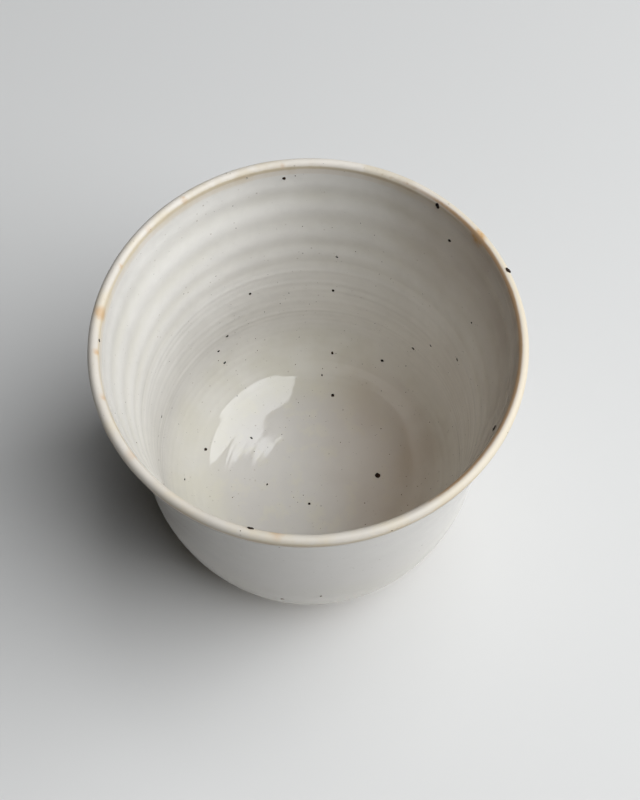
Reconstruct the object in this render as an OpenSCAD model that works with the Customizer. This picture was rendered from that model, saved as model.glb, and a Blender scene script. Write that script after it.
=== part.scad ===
// Hand-thrown teacup: a stoneware body with a trimmed foot ring, dressed in coats of pale glaze.
// The coats and the iron specks are separate solids that lie face to face on the clay.
// Millimetres, +Z up, origin on the table at the middle of the foot ring.

/* [Lip] */
// Outside diameter of the lip
rim_d = 86; // [78:1:96]
// Thickness of the rounded lip, glaze included
lip_t = 2.2; // [1.6:0.1:3]
// Outward lean of the wall at the lip, in degrees
lip_lean = 11; // [5:0.5:16]

/* [Wall] */
// Height from the table to the top of the lip
cup_h = 79; // [70:1:90]
// Outside diameter of the belly, where the wall stands upright
belly_d = 75; // [69:0.2:80]
// Height of the belly above the table
belly_h = 33; // [28:1:38]
// Thickness of the wall at the belly, glaze included
wall_t = 2.9; // [2:0.1:4]
// Share of the drop below the belly over which the wall keeps its direction
turn_hold = 0.31; // [0.1:0.01:0.5]
// Length over which the underside runs straight before it reaches the foot
underside_run = 8; // [4:0.5:11]
// Rise of the underside away from the foot, in degrees
underside_rise = 13; // [5:1:25]

/* [Floor] */
// Diameter of the dished floor inside
floor_d = 40; // [30:1:48]
// Depth of the dish in the floor
floor_dish = 0.8; // [0.2:0.1:1.6]
// Thickness of the floor at its middle, glaze included
floor_t = 4.6; // [3.5:0.1:6]
// Height at which the corner inside has turned into the upright wall
corner_h = 26; // [22:1:30]
// Length over which the corner keeps the direction of the floor
corner_run = 7.5; // [4:0.5:9]
// Length over which the corner keeps the direction of the wall
corner_drop = 9; // [5:0.5:12]

/* [Foot] */
// Outside diameter of the foot ring at the table
foot_d = 48; // [42:1:54]
// Width of the foot ring at the table
foot_w = 4.2; // [3:0.1:6]
// Height at which the glazed underside meets the foot ring
foot_h = 4.8; // [4:0.1:7]
// How much wider than its base the foot ring is at the top, on each side
foot_flare = 1.5; // [1:0.1:2.5]
// Depth of the well inside the foot ring
foot_well_h = 4.2; // [3:0.1:5]
// Rounding of the two edges that touch the table
foot_edge_r = 0.7; // [0.3:0.1:1.2]
// Rounding between the foot ring and the roof of its well
well_fillet_r = 1.6; // [0.8:0.1:2.4]

/* [Throwing rings] */
// Distance from one finger ring to the next
ring_pitch = 6.9; // [4:0.1:7.5]
// Depth of the uppermost finger ring in the glazed wall
ring_depth = 0.32; // [0.1:0.02:0.6]
// Share of that depth which each ring keeps of the ring above it
ring_keep = 0.85; // [0.6:0.05:1]
// Number of finger rings below the lip
ring_count = 4; // [1:1:5]
// Depth below the lip at which the first ring begins
ring_start = 5.8; // [3:0.1:8]
// Depth below the lip of the ledge that the last pull left
ledge_depth = 49.5; // [40:0.5:52]
// Width of that ledge
ledge_w = 4.4; // [2:0.2:6]
// Height of that ledge above the wall
ledge_rise = 0.1; // [0.1:0.05:0.5]

/* [Glaze] */
// Thickness of the coat on the walls
glaze_t = 0.45; // [0.3:0.05:0.6]
// Extra thickness where the glaze pools on the floor
floor_pool = 0.3; // [0:0.05:0.6]
// Extra thickness in a ring, as a share of the ring's depth
ring_pool = 0.3; // [0:0.05:0.6]
// Thickness of the coat where it thins over the lip
lip_glaze_t = 0.25; // [0.15:0.05:0.4]
// Height of the toasted band over the lip
lip_band_h = 2.6; // [2:0.1:4]
// Length over which the coat thickens below the band
lip_fade = 4; // [2:0.5:8]
// Bare clay left on the roof of the foot well, between its rounding and the glazed disc
well_margin = 0.6; // [0.2:0.1:3]

/* [Iron specks] */
// Diameter of a large speck
speck_large = 1.3; // [0.8:0.1:2]
// Diameter of a middling speck
speck_middle = 0.8; // [0.5:0.1:1.2]
// Diameter of a small speck
speck_small = 0.55; // [0.4:0.05:0.8]
// Height of a speck above the glaze
speck_rise = 0.12; // [0.08:0.02:0.2]
// Depth to which a speck sits in the glaze
speck_sink = 0.14; // [0.08:0.02:0.14]

/* [Hidden] */
$fn = 96;

clay_colour = [0.62, 0.52, 0.42];
inner_colour = [0.84, 0.82, 0.78];
outer_colour = [0.85, 0.84, 0.81];
lip_colour = [0.86, 0.77, 0.63];
iron_colour = [0.16, 0.10, 0.07];

// Steps along each stretch of the glazed surface, from the middle of the floor to the foot
floor_steps = 8;
corner_steps = 20;
wall_steps = 66;
band_steps = 2;
lip_steps = 12;
side_steps = 30;
turn_steps = 22;
edge_steps = 5;
well_steps = 6;

// How far a seat is cut into the air, and how far past a band's edge its specks are looked for
seat_open = 1;
seat_reach = 0.3;

// Stretches of the glazed surface between the middle of the floor and each of these places
floor_mid_count = 0;
band_in_count = 3;
band_out_count = 4;
foot_count = 6;

rim_r = rim_d / 2;
lip_r = lip_t / 2;
lip_mid = [rim_r - lip_r, cup_h - lip_r];
band_z = cup_h - lip_band_h;
lip_slope = tan(lip_lean);
out_start = lip_mid + lip_r * [cos(lip_lean), -sin(lip_lean)];
in_start = lip_mid - lip_r * [cos(lip_lean), -sin(lip_lean)];
belly = [belly_d / 2, belly_h];
corner_top = [belly_d / 2 - wall_t, corner_h];
floor_r = floor_d / 2;
floor_z = foot_well_h + floor_t;
floor_edge = [floor_r, floor_z + floor_dish];
floor_slope = 2 * floor_dish / floor_r;
pool_r = floor_r + corner_run;
foot_r = foot_d / 2;
foot_in_r = foot_r - foot_w;
joint = [foot_r + foot_flare, foot_h];

function mix(a, b, share) = a + (b - a) * share;
function clamp01(x) = min(1, max(0, x));
function ease(x) = let (s = clamp01(x)) s * s * (3 - 2 * s);
function curve(a, b, c, d, s) =
    pow(1 - s, 3) * a + 3 * s * pow(1 - s, 2) * b + 3 * s * s * (1 - s) * c + pow(s, 3) * d;
function arc(mid, r, from, to, steps) =
    [for (i = [0:steps]) let (a = mix(from, to, i / steps)) mid + r * [cos(a), sin(a)]];

// Radius of a wall that stands upright at its low end and leans out at the lip
function wall_r(z, low, top) =
    let (run = top[1] - low[1], s = (z - low[1]) / run)
    mix(low[0], top[0], s * s * (3 - 2 * s)) + lip_slope * run * s * s * (s - 1);

// Finger rings are grooves with a soft cosine section, the ledge is a low swelling of the same kind
function ring_cut(depth) =
    let (turns = (depth - ring_start) / ring_pitch)
    turns < 0 || turns > ring_count ? 0
        : ring_depth * pow(ring_keep, floor(turns)) * (1 - cos(360 * turns)) / 2;
function ledge(depth) =
    let (off = (depth - ledge_depth) / ledge_w)
    abs(off) > 0.5 ? 0 : ledge_rise * (1 + cos(360 * off)) / 2;
function inside_r(z) =
    wall_r(z, corner_top, in_start) + ring_cut(cup_h - z) - ledge(cup_h - z) * ease((z - corner_h) / ledge_w);
function outside_r(z) = wall_r(z, belly, out_start);

// The glazed surface in six stretches, each a list of points [radius, height]
floor_line = [
    for (i = [0:floor_steps])
        let (share = i / floor_steps) [floor_r * share, floor_z + floor_dish * share * share]
];
corner_line = [
    for (i = [0:corner_steps])
        curve(floor_edge, floor_edge + corner_run * [1, floor_slope],
              corner_top - [0, corner_drop], corner_top, i / corner_steps)
];
wall_line = [
    for (i = [0:wall_steps]) let (z = mix(corner_h, band_z, i / wall_steps)) [inside_r(z), z]
];
lip_line = concat(
    [for (i = [0:band_steps]) let (z = mix(band_z, in_start[1], i / (band_steps + 1))) [inside_r(z), z]],
    arc(lip_mid, lip_r, 180 - lip_lean, -lip_lean, lip_steps),
    [for (i = [1:band_steps + 1]) let (z = mix(out_start[1], band_z, i / (band_steps + 1))) [outside_r(z), z]]
);
side_line = [
    for (i = [0:side_steps]) let (z = mix(band_z, belly_h, i / side_steps)) [outside_r(z), z]
];
turn_line = [
    for (i = [0:turn_steps])
        curve(belly, belly - [0, turn_hold * (belly_h - foot_h)],
              joint + underside_run * [cos(underside_rise), sin(underside_rise)], joint, i / turn_steps)
];
stretches = [floor_line, corner_line, wall_line, lip_line, side_line, turn_line];
function mark(k) = k == 0 ? 0 : mark(k - 1) + len(stretches[k - 1]) - 1;
lip_from = mark(band_in_count);
lip_to = mark(band_out_count);
skin_end = mark(foot_count);
skin = [
    for (k = [0:len(stretches) - 1])
        for (i = [(k == 0 ? 0 : 1):len(stretches[k]) - 1]) stretches[k][i]
];

// Unit vectors along the surface and out of it, towards the air
function along(i) =
    let (d = skin[min(i + 1, skin_end)] - skin[max(i - 1, 0)]) i == 0 ? [1, 0] : d / norm(d);
function outwards(i) = let (d = along(i)) [-d[1], d[0]];

// Thickness of the coat: thin at the lip, thicker in the rings and on the floor
function coat_t(i) =
    let (depth = cup_h - skin[i][1], inside = i < lip_from)
    mix(lip_glaze_t, glaze_t, ease((depth - lip_band_h) / lip_fade))
    + (inside ? ring_pool * ring_cut(depth) + floor_pool * (1 - ease(skin[i][0] / pool_r)) : 0);
clay = [for (i = [0:skin_end]) skin[i] - coat_t(i) * outwards(i)];

// The lower edge of the outer coat rolls over onto the clay in a quarter round
edge_turn = along(skin_end);
edge_line = [
    for (i = [1:edge_steps])
        let (a = 90 * i / edge_steps)
        clay[skin_end] + glaze_t * (cos(a) * outwards(skin_end) + sin(a) * edge_turn)
];
clay_edge = edge_line[edge_steps - 1];

// The trimmed foot, from the outside of the ring to the middle of its well
well_r = foot_in_r - well_fillet_r;
foot_line = concat(
    arc([foot_r - foot_edge_r, foot_edge_r], foot_edge_r, 0, -90, edge_steps),
    arc([foot_in_r + foot_edge_r, foot_edge_r], foot_edge_r, -90, -180, edge_steps),
    arc([well_r, foot_well_h - well_fillet_r], well_fillet_r, 0, 90, well_steps),
    [[0, foot_well_h]]
);
well_glaze_r = well_r - well_margin;
well_glaze_line = concat(
    [[0, foot_well_h], [0, foot_well_h - glaze_t]],
    arc([well_glaze_r - glaze_t, foot_well_h], glaze_t, -90, 0, edge_steps)
);

// A coat between two marks on the surface, as a closed section
function coat_section(from, to) =
    concat([for (i = [from:to]) skin[i]], [for (i = [to:-1:from]) clay[i]]);

// Each speck: angle round the cup, place along the surface, diameter.
// Whole places are the ends of the stretches: 0 middle of the floor, 1 its edge, 2 foot of the wall,
// 3 and 4 the two edges of the lip band, 5 belly outside, 6 foot.
specks = [
    // On the dished floor
    [0, 0.8, speck_large], [190, 0.55, speck_small], [265, 0.35, speck_small], [145, 0.9, speck_small],
    // In the corner between floor and wall
    [76, 1.1, speck_middle], [84, 1.3, speck_small], [80, 1.55, speck_middle], [57, 1.65, speck_middle],
    [130, 1.95, speck_small], [129, 1.75, speck_small], [166, 1.3, speck_middle], [185, 1.5, speck_small],
    // On the wall inside
    [45, 2.05, speck_middle], [125, 2.05, speck_middle], [37, 2.2, speck_small], [22, 2.35, speck_middle],
    [22, 2.65, speck_small], [42, 2.9, speck_middle], [97, 2.98, speck_middle], [113, 2.3, speck_middle],
    [81, 2.25, speck_middle], [80, 2.5, speck_small], [170, 2.1, speck_small], [335, 2.9, speck_large],
    // On the lip
    [255, 3.25, speck_large], [49, 3.15, speck_large], [20, 3.62, speck_large], [108, 3.1, speck_small],
    [180, 3.15, speck_small],
    // Low on the wall outside
    [260, 5.2, speck_middle], [273, 5.05, speck_small]
];

// Point on the surface at such a place, and the direction out of it
function place(s) =
    let (k = floor(s), i = mark(k) + (s - k) * (mark(k + 1) - mark(k)), j = floor(i))
    [mix(skin[j], skin[j + 1], i - j), outwards(j)];

// A speck is a small disc with a domed top, sunk into the coat and standing just proud of it
module at_speck(one) {
    spot = place(one[1]);
    lean = atan2(spot[1][0], spot[1][1]);
    rotate([0, 0, one[0]]) translate([spot[0][0], 0, spot[0][1]]) rotate([0, lean, 0]) children();
}

module speck(one) {
    ball_r = (one[2] * one[2] / 4 + speck_rise * speck_rise) / (2 * speck_rise);
    at_speck(one) intersection() {
        translate([0, 0, -speck_sink]) cylinder(d = one[2], h = speck_sink + speck_rise);
        translate([0, 0, speck_rise - ball_r]) sphere(r = ball_r);
    }
}

// The seat that a speck leaves in the coat, open towards the air
module speck_seat(one) {
    at_speck(one) translate([0, 0, -speck_sink]) cylinder(d = one[2], h = speck_sink + seat_open);
}

module specks_between(from, to) {
    for (one = specks) if (one[1] > from && one[1] < to) speck(one);
}

module seats_between(from, to) {
    for (one = specks) if (one[1] > from - seat_reach && one[1] < to + seat_reach) speck_seat(one);
}

module clay_body() {
    color(clay_colour) rotate_extrude() polygon(concat(clay, [clay_edge], foot_line));
}

module inner_glaze() {
    color(inner_colour) difference() {
        rotate_extrude() polygon(coat_section(0, lip_from));
        seats_between(floor_mid_count, band_in_count);
    }
}

module lip_glaze() {
    color(lip_colour) difference() {
        rotate_extrude() polygon(coat_section(lip_from, lip_to));
        seats_between(band_in_count, band_out_count);
    }
}

module outer_glaze() {
    section = concat(
        [for (i = [lip_to:skin_end]) skin[i]],
        edge_line,
        [for (i = [skin_end:-1:lip_to]) clay[i]]
    );
    color(outer_colour) difference() {
        rotate_extrude() polygon(section);
        seats_between(band_out_count, foot_count);
    }
}

module foot_well_glaze() {
    color(outer_colour) rotate_extrude() polygon(well_glaze_line);
}

module iron_specks_inside() {
    color(iron_colour) specks_between(floor_mid_count, band_in_count);
}

module iron_specks_lip() {
    color(iron_colour) specks_between(band_in_count, band_out_count);
}

module iron_specks_outside() {
    color(iron_colour) specks_between(band_out_count, foot_count);
}

clay_body();
inner_glaze();
lip_glaze();
outer_glaze();
foot_well_glaze();
iron_specks_inside();
iron_specks_lip();
iron_specks_outside();
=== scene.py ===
# %% [markdown]
# A hand-thrown teacup
#
# This lesson dresses the solids of a small stoneware teacup in their real finish.
# The solids give every size and place, so nothing here is moved or resized.
# The cup is thrown again, finely, with Geometry Nodes, and then glazed with shader nodes.

# %% Load the solids
import math

import bmesh
import bpy
from mathutils import Matrix, Vector


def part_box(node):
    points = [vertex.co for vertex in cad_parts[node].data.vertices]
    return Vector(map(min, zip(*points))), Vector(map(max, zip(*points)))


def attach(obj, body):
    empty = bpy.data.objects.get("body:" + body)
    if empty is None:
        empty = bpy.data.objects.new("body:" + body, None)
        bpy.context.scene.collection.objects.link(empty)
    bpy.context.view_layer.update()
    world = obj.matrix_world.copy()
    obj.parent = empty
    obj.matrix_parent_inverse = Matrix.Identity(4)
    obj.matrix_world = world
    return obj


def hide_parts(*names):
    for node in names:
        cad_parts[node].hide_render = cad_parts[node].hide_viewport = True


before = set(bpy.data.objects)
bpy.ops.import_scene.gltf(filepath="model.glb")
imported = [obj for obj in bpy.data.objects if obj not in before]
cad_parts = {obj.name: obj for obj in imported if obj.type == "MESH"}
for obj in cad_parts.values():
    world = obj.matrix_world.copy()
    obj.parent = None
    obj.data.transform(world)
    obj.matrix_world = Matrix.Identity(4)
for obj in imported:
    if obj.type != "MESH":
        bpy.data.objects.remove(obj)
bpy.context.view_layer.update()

MM = 0.001
print("solids:", ", ".join(sorted(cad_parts)))

# %% [markdown]
# The camera
#
# The cup is seen from above and in front, with the eye about 30 cm over the table.
# A lens is long or short only beside its sensor, so the focal length is first given in pixels
# of an upright picture and then turned into millimetres on Blender's 36 mm sensor.
# The roll is the slight tilt of a picture that is taken by hand.

# %% Camera
picture_tall = 800
focal_pixels = 1300
sensor = 36
camera_at = Vector((2.2, -123.9, 299.8)) * MM
looking_down = math.radians(63.55)
roll = math.radians(-0.6)


def put(name, data):
    """A new object in the scene, at the origin."""
    made = bpy.data.objects.new(name, data)
    bpy.context.scene.collection.objects.link(made)
    return made


camera_data = bpy.data.cameras.new("camera")
camera_data.sensor_width = sensor
camera_data.lens = focal_pixels / picture_tall * sensor
camera = put("camera", camera_data)
tilt = Matrix.Rotation(math.pi / 2 - looking_down, 4, "X") @ Matrix.Rotation(roll, 4, "Z")
camera.matrix_world = Matrix.Translation(camera_at) @ tilt
bpy.context.scene.camera = camera
print(f"lens {camera_data.lens:.1f} mm, {camera_at.length / MM:.0f} mm from the foot of the cup")

# %% [markdown]
# Writing node trees as Python
#
# A node tree reads badly as a list of links. Here a small class holds one output socket and
# gives it the usual operators, so that a sum in Python adds the Math node that does it.
# Every other node is added by one method: its settings first, then its sockets.
# The same two classes build the shaders and the Geometry Nodes trees.

# %% Wires
class Wire:
    """An output socket that can be reckoned with."""

    def __init__(self, board, socket):
        self.board = board
        self.socket = socket

    def math(self, operation, *others):
        return self.board.math(operation, self, *others)

    def __add__(self, other):
        return self.math("ADD", other)

    def __mul__(self, other):
        return self.math("MULTIPLY", other)

    __radd__ = __add__
    __rmul__ = __mul__

    def __sub__(self, other):
        return self.math("SUBTRACT", other)

    def __rsub__(self, other):
        return self.board.math("SUBTRACT", other, self)

    def __truediv__(self, other):
        return self.math("DIVIDE", other)

    def __pow__(self, other):
        return self.math("POWER", other)

    def span(self, low, high):
        """From low to high, as this wire goes from 0 to 1."""
        return low + self * (high - low)


print("wires are ready")

# %% Boards
class Board:
    """A node tree, with one method that adds a node."""

    def __init__(self, tree):
        self.tree = tree

    def node(self, kind, settings=None, sockets=None, out=None):
        made = self.tree.nodes.new(kind)
        for name, value in (settings or {}).items():
            setattr(made, name, value)
        for name, value in (sockets or {}).items():
            self.feed(self.find(made.inputs, name), value)
        if not made.outputs:
            return made
        return Wire(self, self.find(made.outputs, out))

    def find(self, sockets, name):
        shown = [socket for socket in sockets if socket.enabled]
        if name is None:
            return shown[0]
        if isinstance(name, int):
            return shown[name]
        return next(socket for socket in shown if name in (socket.identifier, socket.name))

    def feed(self, socket, value):
        if isinstance(value, Wire):
            self.tree.links.new(value.socket, socket)
        else:
            socket.default_value = value

    def math(self, operation, *values):
        return self.node("ShaderNodeMath", {"operation": operation}, dict(enumerate(values)))

    def smooth(self, value, low, high):
        """0 below low, 1 above high and a soft ramp between them."""
        return self.node("ShaderNodeMapRange", {"interpolation_type": "SMOOTHSTEP"},
                         {"Value": value, "From Min": low, "From Max": high})

    def noise(self, where, scale, detail, rough=0.5):
        return self.node("ShaderNodeTexNoise", {},
                         {"Vector": where, "Scale": scale, "Detail": detail, "Roughness": rough}, "Fac")

    def mottle(self, where, scale, detail, rough, low, high):
        """A noise that is cut between two levels, so that it comes in patches."""
        return self.smooth(self.noise(where, scale, detail, rough), low, high)

    def tint(self, factor, under, over):
        """A colour that goes from under to over."""
        return self.node("ShaderNodeMix", {"data_type": "RGBA"},
                         {"Factor": factor, "A": under, "B": over})

    def split(self, vector):
        """The X, Y and Z of a vector."""
        made = self.node("ShaderNodeSeparateXYZ", {}, {"Vector": vector}).socket.node
        return [Wire(self, socket) for socket in made.outputs]

    def join(self, x, y, z):
        return self.node("ShaderNodeCombineXYZ", {}, {"X": x, "Y": y, "Z": z})


print("boards are ready")

# %% [markdown]
# Finishes: what glaze is
#
# The glaze is a thin coat of glass, milky and grey-white. Its colour is painted whiter at the back and
# on the right and darker at the front left: painted light and shade. Where it runs thin, as over
# the lip, the iron of the clay toasts it to cream and tan. Where it pools, as in the finger groove
# and round the floor, it turns a little greener. Inside on the right, where the walls face away from
# the light, a warm brown-grey is painted as shade, and the inner edge of the lip gets a thin brown line
# that is partly its own colour and partly painted shade.
# A painted picture could show this too, but it would have a seam and only one sharpness.
# All three coats share one recipe on Object coordinates, so their colours meet without a line.

# %% Boards for finishes
def new_board(name):
    """A material's board, emptied, with its Principled shader wired to the output."""
    material = bpy.data.materials.new(name)
    material.use_nodes = True
    material.node_tree.nodes.clear()
    board = Board(material.node_tree)
    shader = material.node_tree.nodes.new("ShaderNodeBsdfPrincipled")
    output = material.node_tree.nodes.new("ShaderNodeOutputMaterial")
    material.node_tree.links.new(shader.outputs["BSDF"], output.inputs["Surface"])
    return material, board, shader


def object_place(board):
    """Where a spot lies, in the cup's own frame."""
    return board.node("ShaderNodeTexCoord", {}, {}, "Object")


def carried(board, name):
    """A value that the mesh itself carries."""
    return board.node("ShaderNodeAttribute", {"attribute_name": name}, {}, "Fac")


def roughen(board, shader, height, strength, depth):
    """A bump on the shader's normal."""
    bump = board.node("ShaderNodeBump", {}, {"Strength": strength, "Distance": depth, "Height": height})
    board.feed(shader.inputs["Normal"], bump)


print("boards for finishes are ready")

# %% [markdown]
# What the glaze knows
#
# The same few facts decide every tint: how far right, back and up a spot lies, whether it is on the
# crown of the lip, how far it lies on the right side, where shade is painted, and three noises that make
# everything patchy.
# Three more come with the cup's own mesh: how much it is toasted and pooled, and where the brown line
# along the lip's inner edge lies.
# They are gathered once for each coat, so that every later step asks for them by name.
# A mottle is a noise, given by its scale, detail and roughness, and the two levels it is cut at.

# %% Facts about a spot
crown_in = 41.3 * MM
crown_out = 42.3 * MM
floor_low = 9.8 * MM
floor_top = 13.0 * MM
satin_from = 30.0 * MM
# The right side of the cup: shade is painted on its inside
right_from = -6.0 * MM
right_full = 26.0 * MM
right_shift = 14.0 * MM
cloud_mottle = (75.0, 3.0, 0.5, 0.35, 0.68)
patch_mottle = (110.0, 4.0, 0.62, 0.44, 0.68)
fleck_mottle = (620.0, 3.0, 0.6, 0.50, 0.72)


class Spot:
    """What the glaze knows about each spot of a coat."""

    def __init__(self, board):
        self.where = object_place(board)
        self.right, self.back, self.height = board.split(self.where)
        self.toast = carried(board, "toast")
        self.scorch = carried(board, "scorch")
        self.pool = carried(board, "pool")
        self.cloud = board.mottle(self.where, *cloud_mottle)
        self.patch = board.mottle(self.where, *patch_mottle)
        self.fleck = board.mottle(self.where, *fleck_mottle)
        reach = (self.right * self.right + self.back * self.back).math("SQRT")
        self.crown = board.smooth(reach, crown_in, crown_out)
        self.upper = board.smooth(self.height, floor_top, satin_from)
        # The right side: inside, where the walls face away from the light, shade is painted on it.
        self.right_side = board.smooth(self.right - self.upper * right_shift, right_from, right_full)
        self.right_off_crown = self.right_side * (1 - self.crown)


print("the crown of the lip starts", round(crown_in / MM, 1), "mm from the axis")

# %% [markdown]
# The body of the coat
#
# A broad and a fine noise curdle the coat, and a slanted ramp over the whole cup paints it lighter at
# the back and on the right and darker at the front left: painted light and shade. On the floor the
# glaze has settled to a darker, stained grey.
# A ramp on height alone would tint the outside near the foot as well, so only the inside settles.

# %% Milk, thin coat, painted light and shade, and floor
# The ramp of painted light and shade, laid over the whole cup
lit_ramp_from = -24.0 * MM
lit_ramp_full = 24.0 * MM
lit_ramp_back = 0.8
lit_ramp_right = 0.6
shade_by_ramp = 0.75
thin_by_cloud = 0.2
thin_by_curd = 0.1
curd_mottle = (420.0, 4.0, 0.6, 0.42, 0.66)
stain_mottle = (190.0, 4.0, 0.65, 0.47, 0.66)
stain_share = 0.45
settled_span = (0.8, 1.0)
pool_span = (0.35, 0.85)
settled = (0.595, 0.565, 0.527, 1.0)
pooled = (0.660, 0.625, 0.515, 1.0)


def coat_body(board, spot, milk, thin_and_shaded, settles):
    curd = board.mottle(spot.where, *curd_mottle)
    # The ramp paints light and shade: lighter at the back and on the right, darker at the front left.
    lit_ramp = board.smooth(spot.back * lit_ramp_back + spot.right * lit_ramp_right, lit_ramp_from, lit_ramp_full)
    shade_and_thinness = (1 - lit_ramp) * shade_by_ramp + spot.cloud * thin_by_cloud + curd * thin_by_curd
    colour = board.tint(shade_and_thinness, milk, thin_and_shaded)
    if settles:
        low = 1 - board.smooth(spot.height, floor_low, floor_top)
        colour = board.tint(low * spot.cloud.span(*settled_span), colour, settled)
        stain = board.mottle(spot.where, *stain_mottle)
        colour = board.tint(low * stain * stain_share, colour, pooled)
    return board.tint(spot.pool * spot.cloud.span(*pool_span), colour, pooled)


print("the floor is settled below", round(floor_top / MM, 1), "mm")

# %% [markdown]
# Painted shade on the right
#
# The inside wall on the right faces away from the light, so a warm brown-grey is painted on it as shade,
# least halfway up the wall.
# A Gradient Texture could paint that, but ramps on the cup's own coordinates keep its sizes in
# millimetres. The crown of the lip is left out here, because it is toasted in the next step.

# %% Painted shade inside
mild_from = 21.0 * MM
mild_to = 46.0 * MM
mild_end = 70.0 * MM
mild_share = 0.55
shade_span = (0.8, 1.0)
# The warm brown-grey of the painted shade
painted_shade_brown = (0.450, 0.362, 0.285, 1.0)


# Paints shade on the inside of the right side, which faces away from the light.
def paint_shade_inside(board, spot, colour, shade):
    mild = board.smooth(spot.height, floor_low, mild_from)
    mild = mild * (1 - board.smooth(spot.height, mild_to, mild_end))
    warm_shade = spot.right_off_crown * shade * (1 - mild * mild_share) * spot.cloud.span(*shade_span)
    return board.tint(warm_shade, colour, painted_shade_brown)


print("the flush is mildest from", round(mild_from / MM, 1), "to", round(mild_to / MM, 1), "mm up")

# %% [markdown]
# The toasted lip
#
# Where glaze is thin, the fire draws iron out of the clay: first cream, then tan in ragged patches.
# The mesh says how thin the coat is, and the noises break the edges up. The tan on the inner
# edge grows towards the right: painted shade where that edge faces away from the light.

# %% Cream and tan
cream_span = (0.55, 1.45)
cream_full = 0.5
cream_loss = 0.6
tan_left_from = -40.0 * MM
tan_left_least = 0.45
tan_plain = 0.45
tan_by_patch = 0.50
tan_by_fleck = 0.15
tan_edge = (0.15, 0.85)
tan_share = 0.8
cream = (0.610, 0.528, 0.395, 1.0)
tan = (0.520, 0.405, 0.280, 1.0)


def toast_lip(board, spot, colour, shade):
    creamy = board.smooth(spot.toast * spot.patch.span(*cream_span), 0.0, cream_full)
    # On the right side, where shade is painted, the cream below the crown is thinned and the crown is
    # creamed as strongly as the shade goes.
    creamy = creamy * (1 - spot.right_off_crown * cream_loss)
    colour = board.tint(creamy.math("MAXIMUM", spot.right_side * spot.crown * shade), colour, cream)
    # Towards the right the tan grows: painted shade on the inner edge of the lip.
    tan_to_right = board.smooth(spot.right, tan_left_from, right_from).span(tan_left_least, 1.0)
    uneven = tan_plain + spot.patch * tan_by_patch + spot.fleck * tan_by_fleck
    blush = spot.toast * uneven * tan_to_right.math("MAXIMUM", spot.crown)
    return board.tint(board.smooth(blush, *tan_edge) * tan_share, colour, tan)


print("cream and tan are ready")

# %% [markdown]
# Rust and a brown line
#
# A few spots on the lip have flashed to rust. Each is a soft ball at an angle round the lip, with a
# reach in millimetres and a strength, and noise eats at its edge. The thin brown line along the inner
# edge follows the mesh. It is the lip's own colour in a few patches, and painted shade where it grows
# strong on the right side, whose inner edge faces away from the light.

# %% Flashes of rust and the brown line
flash_ring = 41.3 * MM
flash_height = 78.4 * MM
flashes = [(33.0, 3.8, 1.0), (172.0, 3.0, 0.6), (184.0, 1.6, 0.8), (217.0, 3.0, 0.5), (262.0, 2.6, 0.4),
           (128.0, 1.8, 0.6), (97.0, 1.3, 0.5), (142.0, 1.7, 0.5), (156.0, 1.4, 0.5), (198.0, 2.0, 0.5)]
flash_plain = 0.5
flash_by_noise = 0.4
flash_edge = (0.15, 0.80)
edge_line_span = (0.85, 1.30)
stray_edge_line = 0.35
edge_line_cut = (0.15, 0.80)
rust = (0.520, 0.290, 0.100, 1.0)
# The brown of the line along the lip's inner edge: partly its own colour, mostly painted shade.
edge_brown = (0.390, 0.250, 0.140, 1.0)


def flash_on(board, spot, degrees, reach):
    """1 in the middle of one flash on the lip, 0 outside it."""
    turn = math.radians(degrees)
    middle = (flash_ring * math.cos(turn), flash_ring * math.sin(turn), flash_height)
    off = board.node("ShaderNodeVectorMath", {"operation": "DISTANCE"},
                     {0: spot.where, 1: middle}, "Value")
    return 1 - board.smooth(off, 0.0, reach * MM)


def rust_and_edge_line(board, spot, colour):
    uneven = flash_plain + spot.patch * flash_by_noise + spot.fleck * flash_by_noise
    for degrees, reach, strength in flashes:
        flash = board.smooth(flash_on(board, spot, degrees, reach) * uneven, *flash_edge)
        colour = board.tint(flash * strength, colour, rust)
    # The line is the lip's own brown in thin patches, and painted shade where the right side makes it
    # strong.
    edge_line_strength = spot.scorch * (spot.right_side * spot.patch.span(*edge_line_span) + spot.patch * spot.fleck * stray_edge_line)
    return board.tint(board.smooth(edge_line_strength, *edge_line_cut), colour, edge_brown)


print(len(flashes), "flashes of rust on the lip")

# %% [markdown]
# Pricks of iron, gloss and skin
#
# Iron too fine for a grain shows as faint brown pricks, the middles of Voronoi cells that a noise
# thins out. The floor is glossy enough to mirror the light, the walls are satin and the lip is dull.
# A slight bump gives the skin of fired glass, which is never as flat as a window.

# %% Pricks of iron
prick_scale = 620.0
prick_edge = (0.06, 0.17)
prick_share = 0.5
rare_mottle = (260.0, 2.0, 0.5, 0.52, 0.66)
bloom = (0.300, 0.235, 0.170, 1.0)


def cells(board, where, scale):
    """How far each spot is from the middle of its Voronoi cell."""
    return board.node("ShaderNodeTexVoronoi", {"feature": "F1"},
                      {"Vector": where, "Scale": scale}, "Distance")


def prick(board, spot, colour):
    dot = 1 - board.smooth(cells(board, spot.where, prick_scale), *prick_edge)
    return board.tint(dot * board.mottle(spot.where, *rare_mottle) * prick_share, colour, bloom)


print("pricks of iron are ready")

# %% Three glazes
# One glaze: the outside milk is darker than the inside milk, as painted shade on the outside, and the
# inside milk is whiter, as painted light for its shaded walls.
milk_inside = (0.800, 0.772, 0.725, 1.0)
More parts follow.
